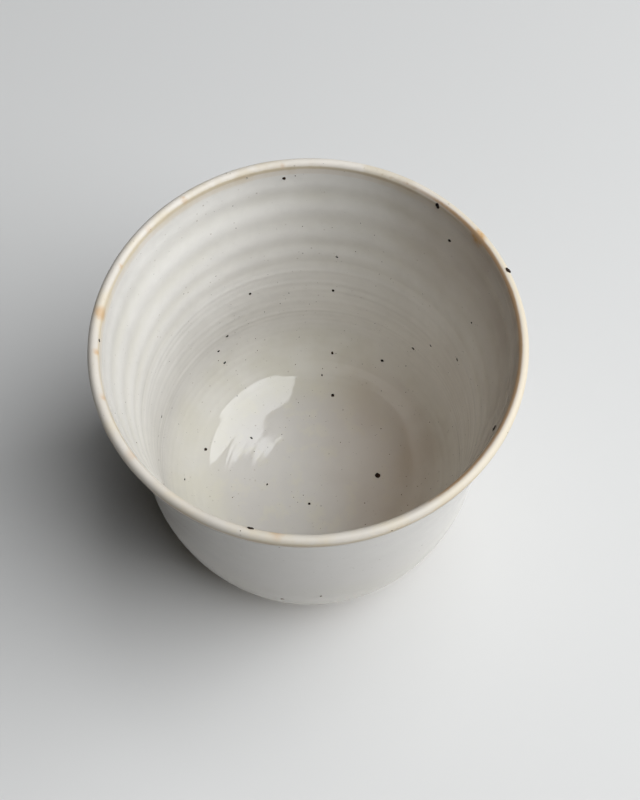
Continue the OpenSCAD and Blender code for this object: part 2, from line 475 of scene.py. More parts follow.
# The thin colours are mostly painted shade, which the ramp lays on, and partly a thin coat in random
# patches.
thin_and_shaded_inside = (0.615, 0.590, 0.552, 1.0)
milk_lip = (0.740, 0.685, 0.620, 1.0)
thin_and_shaded_lip = (0.562, 0.520, 0.466, 1.0)
milk_outside = (0.672, 0.644, 0.606, 1.0)
thin_and_shaded_outside = (0.632, 0.602, 0.560, 1.0)
glaze_ior = 1.45
sheen_noise = (160.0, 3.0)
sheen_span = (0.75, 1.25)
skin_noise = (900.0, 2.0)
skin_depth = 0.03 * MM


def glaze(name, milk, thin_and_shaded, shade, gloss, satin, peel, settles=False):
    """A coat that is as dull as gloss says on the floor, and as satin says higher up."""
    material, board, shader = new_board(name)
    spot = Spot(board)
    colour = coat_body(board, spot, milk, thin_and_shaded, settles)
    colour = paint_shade_inside(board, spot, colour, shade)
    colour = toast_lip(board, spot, colour, shade)
    colour = rust_and_edge_line(board, spot, colour)
    board.feed(shader.inputs["Base Color"], prick(board, spot, colour))
    dull = gloss + spot.upper * (satin - gloss)
    sheen = board.noise(spot.where, *sheen_noise)
    board.feed(shader.inputs["Roughness"], dull * sheen.span(*sheen_span))
    shader.inputs["IOR"].default_value = glaze_ior
    roughen(board, shader, board.noise(spot.where, *skin_noise), peel, skin_depth)
    return material


glaze_inside = glaze("milky_glaze_inside", milk_inside, thin_and_shaded_inside,
                     shade=0.86, gloss=0.04, satin=0.22, peel=0.10, settles=True)
glaze_lip = glaze("toasted_glaze_lip", milk_lip, thin_and_shaded_lip,
                  shade=0.86, gloss=0.46, satin=0.46, peel=0.12)
glaze_outside = glaze("milky_glaze_outside", milk_outside, thin_and_shaded_outside,
                      shade=0.0, gloss=0.20, satin=0.20, peel=0.15)
print("glazes:", glaze_inside.name, glaze_lip.name, glaze_outside.name)

# %% [markdown]
# Finishes: bare clay and iron
#
# The foot ring is left bare, so that the cup does not stick to the kiln shelf. Its clay is a matte
# buff with darker grog, and the trimming tool has left fine turned lines in it.
# The specks are grains of iron that melted out of the clay: almost black, with a warm brown edge.
# Low on the outside they lie under the glaze, which veils them to a greyish brown.

# %% Bare clay
clay_pale = (0.44, 0.345, 0.245, 1.0)
clay_dark = (0.31, 0.225, 0.150, 1.0)
iron_brown = (0.045, 0.022, 0.012, 1.0)
clay_mottle = (140.0, 4.0, 0.6, 0.3, 0.7)
clay_roughness = 0.85
grog_scale = 900.0
grog_edge = (0.08, 0.30)
grog_share = 0.5
tool_pitch = 0.55 * MM
tool_share = 0.3
fired_noise = (1600.0, 3.0)
clay_peel = 0.5
clay_depth = 0.06 * MM


def bare_clay(name):
    material, board, shader = new_board(name)
    where = object_place(board)
    height = board.split(where)[2]
    grit = 1 - board.smooth(cells(board, where, grog_scale), *grog_edge)
    colour = board.tint(board.mottle(where, *clay_mottle), clay_pale, clay_dark)
    board.feed(shader.inputs["Base Color"], board.tint(grit * grog_share, colour, iron_brown))
    shader.inputs["Roughness"].default_value = clay_roughness
    turned_lines = (height * 2 * math.pi / tool_pitch).math("SINE")
    relief = turned_lines * tool_share + board.noise(where, *fired_noise) + grit
    roughen(board, shader, relief, clay_peel, clay_depth)
    return material


clay_finish = bare_clay("bare_clay_foot")
print("bare clay:", clay_finish.name)

# %% Iron
iron_black = (0.004, 0.003, 0.003, 1.0)
dust_brown = (0.150, 0.110, 0.078, 1.0)
veiled_grey = (0.260, 0.225, 0.185, 1.0)
melt_mottle = (1800.0, 3.0, 0.5, 0.40, 0.70)
iron_dullness = (0.40, 0.65)
iron_shine = 0.06
iron_peel = 0.4
iron_depth = 0.03 * MM


def iron(name, core, edge):
    material, board, shader = new_board(name)
    where = object_place(board)
    melt = board.mottle(where, *melt_mottle)
    board.feed(shader.inputs["Base Color"], board.tint(melt, core, edge))
    board.feed(shader.inputs["Roughness"], melt.span(*iron_dullness))
    shader.inputs["Specular IOR Level"].default_value = iron_shine
    roughen(board, shader, melt, iron_peel, iron_depth)
    return material


iron_finish = iron("iron_grain", iron_black, iron_brown)
dust_finish = iron("iron_dust", iron_brown, dust_brown)
veiled_finish = iron("iron_under_glaze", dust_brown, veiled_grey)
print("iron:", iron_finish.name, dust_finish.name, veiled_finish.name)

# %% [markdown]
# The section of the cup
#
# A thrown pot is one line, turned round an axis. The line starts in the middle of the dished floor,
# bends up into the wall, rises to the flared lip, rolls over it and runs down the outside
# to the foot. The lip's sizes are read from the solids.
# The rest are the same driving sizes that the solids have.

# %% Sizes of the section
lip_low, lip_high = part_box("lip_glaze")
rim_r = lip_high[0]
cup_h = lip_high[2]
band_z = lip_low[2]

lip_r = 1.1 * MM
lip_lean = math.radians(11)
lip_mid = Vector((rim_r - lip_r, cup_h - lip_r))
lean_out = Vector((math.cos(lip_lean), -math.sin(lip_lean))) * lip_r
lip_outside = lip_mid + lean_out
lip_inside = lip_mid - lean_out

belly = Vector((37.5, 33.0)) * MM
corner_top = Vector((34.6, 26.0)) * MM
floor_r = 20.0 * MM
floor_z = 8.8 * MM
floor_dish = 0.8 * MM
corner_meet = 28.0 * MM
corner_run = 7.0 * MM
corner_drop = 13.0 * MM
foot_joint = Vector((25.5, 4.8)) * MM
belly_hold = 0.31
underside_run = 8.0 * MM
underside_rise = math.radians(13)
print(f"lip {2 * rim_r / MM:.1f} mm across, {cup_h / MM:.1f} mm high")

# %% [markdown]
# Where the fingers pressed
#
# The finger groove climbs the wall as one spiral, so it comes later, on the wheel. Here the line
# only says how many turns the groove has made at each height, and how hard the fingers pressed:
# four clear turns, four faint ones closer together, and a last coil drawn over the floor.

# %% Finger groove
ring_pitch = 6.9 * MM
ring_depth = 0.32 * MM
ring_keep = 0.85
ring_count = 4
ring_start = 5.8 * MM
press_in = 0.4
press_begin = 0.6
press_fade = 0.8
slow_pitch = 3.9 * MM
slow_count = 4
slow_press = 0.14
coil_pitch = 7.5 * MM
coil_press = 0.06
coil_in = 4.0 * MM
coil_out = 14.0 * MM
coil_fade = 8.0 * MM


def ease(x):
    x = min(max(x, 0.0), 1.0)
    return x * x * (3 - 2 * x)


def turns_down(z):
    """Turns of the finger groove between its start and a height: the last ones lie closer together."""
    down = cup_h - z - ring_start
    quick = min(down, ring_count * ring_pitch)
    return quick / ring_pitch + (down - quick) / slow_pitch


def finger_press(z):
    """How hard the fingers pressed at a height inside, from 0 to 1: less with every turn down."""
    turns = turns_down(z)
    began = ease((turns + press_in) / press_begin)
    eased = ease((turns - ring_count + press_in) / press_fade)
    ended = ease((turns - ring_count - slow_count + press_in) / press_fade)
    return began * (1 - ended) * (ring_keep ** turns * (1 - eased) + slow_press * eased)


def floor_press(r):
    """The last coil that the fingers drew over the floor: faint at its middle and at its edge."""
    return coil_press * ease(r / coil_in) * (1 - ease((r - coil_out) / coil_fade))


print("the finger groove goes round", ring_count, "times, from", round(ring_start / MM, 1), "mm down")

# %% [markdown]
# Drawing the line
#
# The two walls are cubics that stand upright low down and lean out at the lip, and a small ledge
# swells where the inner wall meets the corner. The corner and the underside are Bezier curves,
# because they have to leave one stretch and meet the next without a kink. The lip is half a circle.

# %% Walls and curves
ledge_depth = 49.5 * MM
ledge_w = 5.4 * MM
ledge_rise = 0.05 * MM


def ledge(z):
    off = (cup_h - z - ledge_depth) / ledge_w
    swell = (1 + math.cos(2 * math.pi * off)) / 2 if abs(off) < 0.5 else 0.0
    return swell * ease((z - corner_top.y) / ledge_w)


def wall(z, low, top):
    """Radius of a wall that stands upright at its low end and leans out at the lip."""
    run = top.y - low.y
    s = (z - low.y) / run
    return low.x + (top.x - low.x) * s * s * (3 - 2 * s) + math.tan(lip_lean) * run * s * s * (s - 1)


def inside_at(z):
    return Vector((wall(z, corner_top, lip_inside) - ledge_rise * ledge(z), z))


def outside_at(z):
    return Vector((wall(z, belly, lip_outside), z))


def bend(a, b, c, d, s):
    return a * (1 - s) ** 3 + b * 3 * s * (1 - s) ** 2 + c * 3 * s * s * (1 - s) + d * s ** 3


def roll_over(s):
    angle = math.pi - lip_lean - math.pi * s
    return lip_mid + Vector((math.cos(angle), math.sin(angle))) * lip_r


def between(a, b, s):
    return a + (b - a) * s


def steps(count):
    return [i / count for i in range(count + 1)]


print("the ledge lies", round(ledge_depth / MM, 1), "mm below the lip")

# %% The line itself
floor_steps = 200
curve_steps = 240
wall_steps = 500
band_steps = 30
roll_steps = 60

floor_edge = Vector((floor_r, floor_z + floor_dish))
floor_turn = floor_edge + Vector((1, 2 * floor_dish / floor_r)) * corner_run
corner_end = inside_at(corner_meet)
wall_turn = corner_end + (corner_end - inside_at(corner_meet + MM)).normalized() * corner_drop
belly_turn = belly - Vector((0, belly_hold * (belly.y - foot_joint.y)))
foot_turn = foot_joint + Vector((math.cos(underside_rise), math.sin(underside_rise))) * underside_run

stretches = [
    [Vector((floor_r * s, floor_z + floor_dish * s * s)) for s in steps(floor_steps)],
    [bend(floor_edge, floor_turn, wall_turn, corner_end, s) for s in steps(curve_steps)],
    [inside_at(between(corner_meet, band_z, s)) for s in steps(wall_steps)],
    [inside_at(between(band_z, lip_inside.y, s)) for s in steps(band_steps)],
    [roll_over(s) for s in steps(roll_steps)],
    [outside_at(between(lip_outside.y, band_z, s)) for s in steps(band_steps)],
    [outside_at(between(band_z, belly.y, s)) for s in steps(curve_steps)],
    [bend(belly, belly_turn, foot_turn, foot_joint, s) for s in steps(curve_steps)],
]
line = []
ends = []
for stretch in stretches:
    line += stretch[1:] if line else stretch
    ends.append(len(line) - 1)
runs = [0.0]
for before, after in zip(line, line[1:]):
    runs.append(runs[-1] + (after - before).length)
wall_end, lip_end, foot_end = ends[2], ends[5], ends[7]
lip_top_run = (runs[ends[3]] + runs[ends[4]]) / 2
print(f"the line is {runs[-1] / MM:.1f} mm long")

# %% [markdown]
# What each point carries
#
# Beside its place, each point of the line tells the glaze and the wheel what happened there.
# The coat is thin over the lip, so it toasts most on the lip's two edges and at the hem over the
# foot. It pools in the corner and towards the belly. Low inside, the fingers left a fine spiral.
# A vertex group painted by hand could say the same, but these rules follow the sizes by themselves.

# %% Toast and the brown line
lip_edge = 1.85 * MM
edge_inside = 0.8 * MM
edge_outside = 1.5 * MM
edge_toast = 0.8
blush_inside = 3.5 * MM
blush_outside = 1.8 * MM
crown_toast = 0.23
wall_toast = 0.24
hem_h = 7.0 * MM
inner_edge_offset = 0.95 * MM
inner_edge_w = 0.85 * MM


def toast_at(i):
    """Most on the lip's edges and at the hem over the foot, less on the crown, a blush on the walls."""
    off = runs[i] - lip_top_run
    past = abs(off) - lip_edge
    blush_h, edge_w = (blush_inside, edge_inside) if off < 0 else (blush_outside, edge_outside)
    edge = ease(1 - abs(past) / edge_w)
    blush = wall_toast * (1 - ease(past / blush_h)) if past > 0 else crown_toast
    hem = ease((foot_joint.y + hem_h - line[i].y) / hem_h) if i > lip_end else 0.0
    return max(edge_toast * edge, blush, hem)


def inner_edge_at(i):
    """The thin line along the inner edge of the lip."""
    off = runs[i] - lip_top_run
    return ease(1 - abs(off + inner_edge_offset) / inner_edge_w)


print("the lip's edges lie", round(lip_edge / MM, 2), "mm from its top, along the line")

# %% Pools, spiral and groove
outer_pool_top = 44.0 * MM
outer_pool_h = 26.0 * MM
corner_pool_r = 17.0 * MM
corner_pool_w = 9.0 * MM
pool_most = 0.8
spiral_from = 26.0 * MM
spiral_fade = 6.0 * MM
spiral_grow = 10.0 * MM
floor_spiral = 0.06


def pool_at(i):
    r, z = line[i]
    if i >= wall_end:
        return ease((outer_pool_top - z) / outer_pool_h) * pool_most
    if z > corner_top.y:
        return 0.0
    return ease((r - corner_pool_r) / corner_pool_w) * ease((corner_top.y - z) / corner_pool_w) * pool_most


def spiral_at(i):
    """Where the fingers left their fine spiral: low on the wall, in the corner and on the floor."""
    r, z = line[i]
    if i >= wall_end:
        return 0.0
    if z > corner_top.y:
        return ease((cup_h - z - spiral_from) / spiral_fade)
    return ease(r / spiral_fade) * between(floor_spiral, 1.0, ease((r - floor_r) / spiral_grow))


def groove_at(i):
    """Turns of the finger groove at a point, and how hard it was pressed there."""
    r, z = line[i]
    if i >= wall_end:
        return 0.0, 0.0
    if z > corner_top.y:
        return turns_down(z), finger_press(z)
    return r / coil_pitch, floor_press(r)


print("the fine spiral starts", round(spiral_from / MM, 1), "mm below the lip")

# %% [markdown]
# Coats with a thickness
#
# Each coat is a closed shell: an outer skin that shows, and a back that lies on the clay.
# Solidify would give both sides as many points. Here the skin gets many and the back a few.

# %% Points of a coat
coat_t = 0.45 * MM
floor_pool = 0.30 * MM
lip_coat_t = 0.25 * MM
lip_fade = 4.0 * MM
run_slack = 1e-9


def outwards(i):
    ahead = line[min(i + 1, len(line) - 1)] - line[max(i - 1, 0)]
    return Vector((-ahead.y, ahead.x)).normalized() if i else Vector((0.0, 1.0))


def coat_depth(i):
    r, z = line[i]
    thick = between(lip_coat_t, coat_t, ease((band_z - z) / lip_fade))
    if i < wall_end:
        thick += floor_pool * (1 - ease(r / (floor_r + corner_run)))
    return thick


def pick(first, last, gap):
    """Indices on the line about one gap apart."""
    count = max(2, round((runs[last] - runs[first]) / gap))
    chosen = []
    at = first
    for s in steps(count):
        while at < last and runs[at] < between(runs[first], runs[last], s) - run_slack:
            at += 1
        chosen.append(at)
    return sorted(set(chosen))


def coat_points(first, last, skin_gap, back_gap):
    def point(i, place, air, skin):
        turns, press = groove_at(i)
        return dict(place=place, air=air, run=runs[i], skin=skin, spiral=spiral_at(i) * skin,
                    turns=turns, press=press * skin,
                    toast=toast_at(i), scorch=inner_edge_at(i), pool=pool_at(i))

    skin = [point(i, line[i], outwards(i), 1.0) for i in pick(first, last, skin_gap)]
    back = [point(i, line[i] - outwards(i) * coat_depth(i), Vector((0, 0)), 0.0)
            for i in reversed(pick(first, last, back_gap))]
    return skin + back


inside_points = coat_points(0, wall_end, skin_gap=0.32 * MM, back_gap=1.6 * MM)
lip_points = coat_points(wall_end, lip_end, skin_gap=0.14 * MM, back_gap=0.5 * MM)
outside_points = coat_points(lip_end, foot_end, skin_gap=0.55 * MM, back_gap=1.6 * MM)
print("points in the sections:", len(inside_points), len(lip_points), len(outside_points))

# %% [markdown]
# The wheel
#
# Spin or a Screw modifier would turn the section too, but could not leave a potter's marks.
# This Geometry Nodes tree lays a grid out, one row for each point of the section and one column for
# each step round. It looks every row's point up by its index and bends the row into a ring.
# First come the helpers that any tree here needs: named inputs, and an end that makes instances
# real and sets the material, because the finished piece has to be a plain mesh.

# %% Trees with named inputs
def add_input(tree, name, kind, value=None):
    socket = tree.interface.new_socket(name=name, in_out="INPUT", socket_type="NodeSocket" + kind)
    if value is not None:
        socket.default_value = value
    return socket.identifier


def new_tree(name, inputs):
    """A Geometry Nodes tree with named inputs; returns its board, its input wires and identifiers."""
    tree = bpy.data.node_groups.new(name, "GeometryNodeTree")
    keys = {"Geometry": add_input(tree, "Geometry", "Geometry")}
    for label, (kind, value) in inputs.items():
        keys[label] = add_input(tree, label, kind, value)
    tree.interface.new_socket(name="Geometry", in_out="OUTPUT", socket_type="NodeSocketGeometry")
    board = Board(tree)
    source = tree.nodes.new("NodeGroupInput")
    wires = {label: Wire(board, source.outputs[label]) for label in keys}
    return board, wires, keys


def close_tree(board, geometry, finish):
    real = board.node("GeometryNodeRealizeInstances", {}, {"Geometry": geometry})
    dressed = board.node("GeometryNodeSetMaterial", {}, {"Geometry": real, "Material": finish})
    end = board.tree.nodes.new("NodeGroupOutput")
    board.feed(end.inputs["Geometry"], dressed)


def named(board, name, kind="FLOAT"):
    """A value that the geometry carries under that name."""
    return board.node("GeometryNodeInputNamedAttribute", {"data_type": kind}, {"Name": name}, "Attribute")


print("trees can be built")

# %% The grid and its rows
groove_share = 0.82
wheel, wheel_in, wheel_keys = new_tree("wheel", {
    "Steps round": ("Int", 240),
    "Groove depth": ("Float", groove_share * ring_depth),
    "Spiral pitch": ("Float", 2.2 * MM),
    "Spiral depth": ("Float", 0.040 * MM),
    "Unevenness": ("Float", 0.10 * MM),
    "Dimples": ("Float", 0.028 * MM),
    "Oval": ("Float", 0.05 * MM),
    "Seed": ("Float", 4.0),
    "Finish": ("Material", None),
})
rows = wheel.node("GeometryNodeAttributeDomainSize", {"component": "MESH"},
                  {"Geometry": wheel_in["Geometry"]}, "Point Count")
columns = wheel_in["Steps round"] + 1
grid = wheel.node("GeometryNodeMeshGrid", {}, {"Vertices X": rows, "Vertices Y": columns}, "Mesh")
unrolled = Wire(wheel, grid.socket.node.outputs["UV Map"])
index = wheel.node("GeometryNodeInputIndex")
row = ((index + 0.5) / columns).math("FLOOR")
turn = (index - row * columns) / wheel_in["Steps round"]


def look_up(value, kind="FLOAT"):
    """What the section has there, for the row of each grid point."""
    return wheel.node("GeometryNodeSampleIndex", {"data_type": kind, "domain": "POINT", "clamp": True},
                      {"Geometry": wheel_in["Geometry"], "Value": value, "Index": row})


def look_up_named(name, kind="FLOAT"):
    return look_up(named(wheel, name, kind), kind)


radius, _, height = wheel.split(look_up(wheel.node("GeometryNodeInputPosition"), "FLOAT_VECTOR"))
air_out, _, air_up = wheel.split(look_up_named("air", "FLOAT_VECTOR"))
skin_here = look_up_named("skin")
run = look_up_named("run")
angle = turn * (2 * math.pi)
across = angle.math("COSINE")
upwards = angle.math("SINE")
print("the wheel's inputs:", ", ".join(wheel_keys))

# %% [markdown]
# A potter's marks
#
# The skin is pushed in and out along the air direction: by the finger groove, by a finer spiral
# below it, and by a slow unevenness. Both spirals climb one pitch with each turn.
# Noise along the line makes them stray and lift, as fingers do. Each noise has its own step from the
# tree's seed, and is given with its scale and detail.

# %% Noises of the hand
slow_noise = (0, 55.0, 1.0)
dimple_noise = (3, 150.0, 0.0)
touch_noise = (7, 260.0, 1.0)
waver_noise = (9, 70.0, 0.0)
stray_noise = (12, 60.0, 0.0)
line_r = 4.0 * MM


def wheel_noise(where, seed_step, scale, detail):
    return wheel.node("ShaderNodeTexNoise", {"noise_dimensions": "4D"}, {
        "Vector": where, "W": wheel_in["Seed"] + seed_step, "Scale": scale, "Detail": detail}, "Fac")


on_cup = wheel.join(radius * across, radius * upwards, height)
on_line = wheel.join(across * line_r, upwards * line_r, run)
slow = wheel_noise(on_cup, *slow_noise)
dimple = wheel_noise(on_cup, *dimple_noise)
touch = wheel_noise(on_line, *touch_noise)
waver = wheel_noise(on_line, *waver_noise)
stray = wheel_noise(on_line, *stray_noise)
print("five noises of the hand")

# %% Grooves and unevenness
waver_turns = 2.0
stray_turns = 0.7
start_turn = 0.25
fine_sharpness = 1.4
touch_edge = (0.30, 0.72)
touch_most = 1.5
press_span = (0.75, 1.25)
calm_floor = 0.3


def crest(turns):
    """1 at every full turn and 0 halfway between."""
    return 0.5 + (turns * (2 * math.pi)).math("COSINE") * 0.5


fine_groove = crest(run / wheel_in["Spiral pitch"] + turn + (waver - 0.5) * waver_turns) ** fine_sharpness
touched = wheel.smooth(touch, *touch_edge) * touch_most
marks = fine_groove * look_up_named("spiral") * wheel_in["Spiral depth"] * touched
climb = look_up_named("turns") + start_turn - turn + (stray - 0.5) * stray_turns
wide_groove = (1 - crest(climb)) * look_up_named("press") * slow.span(*press_span)
calm = wheel.smooth(height, floor_low, satin_from).span(calm_floor, 1.0)
push = ((slow - 0.5) * wheel_in["Unevenness"] * calm + (dimple - 0.5) * wheel_in["Dimples"]) * skin_here
push = push - marks - wide_groove * wheel_in["Groove depth"]
oval = (angle * 2).math("SINE") * wheel_in["Oval"] * skin_here * (height / cup_h)
thrown_r = radius + air_out * push + oval
thrown = wheel.join(thrown_r * across, thrown_r * upwards, height + air_up * push)
print("the finger groove is up to", round(groove_share * ring_depth / MM, 2), "mm deep")

# %% [markdown]
# Closing the wheel
#
# Glaze pools in the groove, so its share is added to the pool value. The values that the glaze reads
# are stored on the new mesh. The first and last column, and the rows at the axis, are merged, so
# the seam and the poles are closed.

# %% Store, merge and finish
groove_pool = 0.45
seam_weld = 0.001 * MM
kept = {
    "toast": look_up_named("toast"),
    "scorch": look_up_named("scorch"),
    "pool": look_up_named("pool").math("MAXIMUM", wide_groove * groove_pool),
    "skin": skin_here,
}
cup = wheel.node("GeometryNodeSetPosition", {}, {"Geometry": grid, "Position": thrown})
for name, value in kept.items():
    cup = wheel.node("GeometryNodeStoreNamedAttribute", {"data_type": "FLOAT", "domain": "POINT"},
                     {"Geometry": cup, "Name": name, "Value": value})
cup = wheel.node("GeometryNodeStoreNamedAttribute", {"data_type": "FLOAT2", "domain": "CORNER"},
                 {"Geometry": cup, "Name": "UVMap", "Value": unrolled})
cup = wheel.node("GeometryNodeMergeByDistance", {}, {"Geometry": cup, "Distance": seam_weld})
cup = wheel.node("GeometryNodeSetShadeSmooth", {}, {"Geometry": cup, "Shade Smooth": True})
close_tree(wheel, cup, wheel_in["Finish"])
print("the wheel has", len(wheel.tree.nodes), "nodes")

# %% [markdown]
# Throwing the coats
#
# A section becomes a chain of edges whose points carry their values as attributes. It goes through
# the wheel, and the result is kept as a plain mesh. A closed shell can come out inside out,
# so its faces are turned by the sign of its volume.

# %% From tree to plain mesh
def plain_piece(name, source):
    """The evaluated result of an object as a plain mesh of its own; the source is removed."""
    shown = source.evaluated_get(bpy.context.evaluated_depsgraph_get())
    mesh = bpy.data.meshes.new_from_object(shown)
    mesh.name = name
    bpy.data.objects.remove(source)
    return put(name, mesh)


def grown(name, mesh, tree, keys, values):
    """A mesh put through a tree, with the tree's named inputs set by their identifiers."""
    source = put(name + "_source", mesh)
    modifier = source.modifiers.new("tree", "NODES")
    modifier.node_group = tree
    for label, value in values.items():
        modifier[keys[label]] = value
    return plain_piece(name, source)


def face_outwards(mesh):
    shell = bmesh.new()
    shell.from_mesh(mesh)
    bmesh.ops.recalc_face_normals(shell, faces=shell.faces)
    volume = shell.calc_volume(signed=True)
    if volume < 0:
        bmesh.ops.reverse_faces(shell, faces=shell.faces)
    loose = sum(1 for edge in shell.edges if len(edge.link_faces) != 2)
    shell.to_mesh(mesh)
    shell.free()
    return abs(volume), loose


print("pieces can be grown")

# %% Throw the three coats
sharp_angle = math.radians(40)
carried_along = ("run", "skin", "spiral", "turns", "press", "toast", "scorch", "pool")


def throw(name, points, steps_round, finish):
    section = bpy.data.meshes.new(name + "_section")
    chain = [(i, i + 1) for i in range(len(points) - 1)]
    section.from_pydata([(p["place"].x, 0.0, p["place"].y) for p in points], chain, [])
    for label in carried_along:
        layer = section.attributes.new(label, "FLOAT", "POINT")
        layer.data.foreach_set("value", [p[label] for p in points])
    air = section.attributes.new("air", "FLOAT_VECTOR", "POINT")
    for spot, p in zip(air.data, points):
        spot.vector = (p["air"].x, 0.0, p["air"].y)
    piece = grown(name, section, wheel.tree, wheel_keys, {"Steps round": steps_round, "Finish": finish})
    volume, loose = face_outwards(piece.data)
    piece.data.set_sharp_from_angle(angle=sharp_angle)
    print(f"{name}: {len(piece.data.polygons)} faces, {volume / MM ** 3:.0f} mm3, {loose} open edges")
    return piece


inside_skin = throw("glazed_inside", inside_points, steps_round=240, finish=glaze_inside)
lip_skin = throw("glazed_lip", lip_points + lip_points[:1], steps_round=300, finish=glaze_lip)
outside_skin = throw("glazed_outside", outside_points + outside_points[:1], steps_round=240,
                     finish=glaze_outside)

# %% [markdown]
# Iron specks
#
# Some thirty grains are large enough to be solids of their own. The solids are neat discs, and
# real grains are ragged, flattened and often drawn out, so each disc gives only its place and size.
# The tree finds the nearest spot on the glaze, lies a squashed icosphere on it and roughens it.

# %% Places of the specks
speck_weld = 0.005 * MM


def speck_places(node):
    """Middle and width of every separate grain in a node."""
    copy = bmesh.new()
    copy.from_mesh(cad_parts[node].data)
    bmesh.ops.remove_doubles(copy, verts=copy.verts, dist=speck_weld)
    copy.verts.ensure_lookup_table()
    left = set(copy.verts)
    found = []
    for first in list(copy.verts):
        if first not in left:
            continue
        grain = []
        reach = [first]
        left.discard(first)
        while reach:
            vert = reach.pop()
            grain.append(vert.co.copy())
            for edge in vert.link_edges:
                other = edge.other_vert(vert)
                if other in left:
                    left.discard(other)
                    reach.append(other)
        middle = sum(grain, Vector()) / len(grain)
        found.append((middle, 2 * max((co - middle).length for co in grain)))
    copy.free()
    return found


places = {node: speck_places(node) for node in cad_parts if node.startswith("iron_specks")}
print("specks:", {node: len(spots) for node, spots in places.items()})

# %% Grains that lie flat
def random_between(board, low, high, seed):
    return board.node("FunctionNodeRandomValue", {"data_type": "FLOAT"},
                      {"Min": low, "Max": high, "Seed": seed})


def laid_grains(board, points, rotation, width, detail, flatness, narrowest, seed):
    """Squashed icospheres, turned at random and lying flat on the glaze."""
    ball = board.node("GeometryNodeMeshIcoSphere", {}, {"Radius": 0.5, "Subdivisions": detail}, "Mesh")
    spin = board.node("FunctionNodeAxisAngleToRotation", {}, {
        "Axis": (0, 0, 1), "Angle": random_between(board, 0.0, 2 * math.pi, seed)})
    turned = board.node("FunctionNodeRotateRotation", {"rotation_space": "LOCAL"},
                        {"Rotation": rotation, "Rotate By": spin})
    narrow = random_between(board, narrowest, 1.0, seed + 1)
    size = board.join(width, width * narrow, width * flatness)
    return board.node("GeometryNodeInstanceOnPoints", {}, {
        "Points": points, "Instance": ball, "Rotation": turned, "Scale": size})


print("grains can be laid")

# %% The sower
speck_detail = 3
ragged_noise = {"Scale": 2600.0, "Detail": 1.0}
sower, sower_in, sower_keys = new_tree("sower", {
    "Glaze": ("Object", None),
    "Spread": ("Float", 1.06),
    "Flatness": ("Float", 0.34),
    "Narrowest": ("Float", 0.60),
    "Raggedness": ("Float", 0.36 * MM),
    "Seed": ("Int", 3),
    "Iron": ("Material", None),
})
target = sower.node("GeometryNodeObjectInfo", {"transform_space": "ORIGINAL"},
                    {"Object": sower_in["Glaze"]}, "Geometry")
nearest = sower.node("GeometryNodeProximity", {"target_element": "FACES"},
                     {"Geometry": target}, "Position")
seated = sower.node("GeometryNodeSetPosition", {}, {"Geometry": sower_in["Geometry"], "Position": nearest})
facing = sower.node("GeometryNodeSampleNearestSurface", {"data_type": "FLOAT_VECTOR"}, {
    "Mesh": target, "Value": sower.node("GeometryNodeInputNormal", {}, {}, "Normal")})
upright = sower.node("FunctionNodeAlignRotationToVector", {"axis": "Z"}, {"Vector": facing})
width = named(sower, "width") * sower_in["Spread"]
grains = laid_grains(sower, seated, upright, width, speck_detail,
                     sower_in["Flatness"], sower_in["Narrowest"], sower_in["Seed"])
solid = sower.node("GeometryNodeRealizeInstances", {}, {"Geometry": grains})
ragged = sower.node("ShaderNodeTexNoise", {}, {
    "Vector": sower.node("GeometryNodeInputPosition"), **ragged_noise}, "Color")
shake = sower.node("ShaderNodeVectorMath", {"operation": "SUBTRACT"}, {0: ragged, 1: (0.5, 0.5, 0.5)})
offset = sower.node("ShaderNodeVectorMath", {"operation": "SCALE"},
                    {0: shake, "Scale": sower_in["Raggedness"]})
rough = sower.node("GeometryNodeSetPosition", {}, {"Geometry": solid, "Offset": offset})
rough = sower.node("GeometryNodeSetShadeSmooth", {}, {"Geometry": rough, "Shade Smooth": True})
close_tree(sower, rough, sower_in["Iron"])
print("the sower has", len(sower.tree.nodes), "nodes")

# %% Sow the specks
def sow(name, node, glaze_piece, finish, flatness):
    spots = places[node]
    points = bpy.data.meshes.new(name + "_places")
    points.from_pydata([middle for middle, _ in spots], [], [])
    layer = points.attributes.new("width", "FLOAT", "POINT")
    layer.data.foreach_set("value", [wide for _, wide in spots])
    piece = grown(name, points, sower.tree, sower_keys, {
        "Glaze": glaze_piece, "Flatness": flatness, "Iron": finish})
    print(f"{name}: {len(spots)} grains, {len(piece.data.polygons)} faces")
    return piece


specks_inside = sow("specks_inside", "iron_specks_inside", inside_skin, iron_finish, flatness=0.30)
specks_lip = sow("specks_lip", "iron_specks_lip", lip_skin, iron_finish, flatness=0.16)
specks_outside = sow("specks_outside", "iron_specks_outside", outside_skin, veiled_finish, flatness=0.20)

# %% [markdown]
# Iron dust
#
# Between the specks lie hundreds of grains as fine as pepper, thickest on the floor.
# They are scattered over the skin of each coat by a seeded distribution.
# Each grain is an icosphere of twenty faces, because at this size nobody sees more.

# %% The duster
dust_detail = 1
dust_flatness = 0.5
dust_narrowest = 0.6
fine_power = 3
size_seed_step = 5
skin_only = 0.9
thin_from = 10.0 * MM
thin_to = 34.0 * MM
thinned_by = 0.72
duster, duster_in, duster_keys = new_tree("duster", {
    "Per square metre": ("Float", 60000.0),
    "Finest": ("Float", 0.10 * MM),
    "Coarsest": ("Float", 0.34 * MM),
    "Seed": ("Int", 11),
    "Dust": ("Material", None),
})
shows = duster.math("GREATER_THAN", named(duster, "skin"), skin_only)
dust_height = duster.split(duster.node("GeometryNodeInputPosition"))[2]
thick = 1 - duster.smooth(dust_height, thin_from, thin_to) * thinned_by
spread = duster.node("GeometryNodeDistributePointsOnFaces", {"distribute_method": "RANDOM"}, {
    "Mesh": duster_in["Geometry"], "Selection": shows, "Density": duster_in["Per square metre"] * thick,
    "Seed": duster_in["Seed"]}, "Points")
lying = Wire(duster, spread.socket.node.outputs["Rotation"])
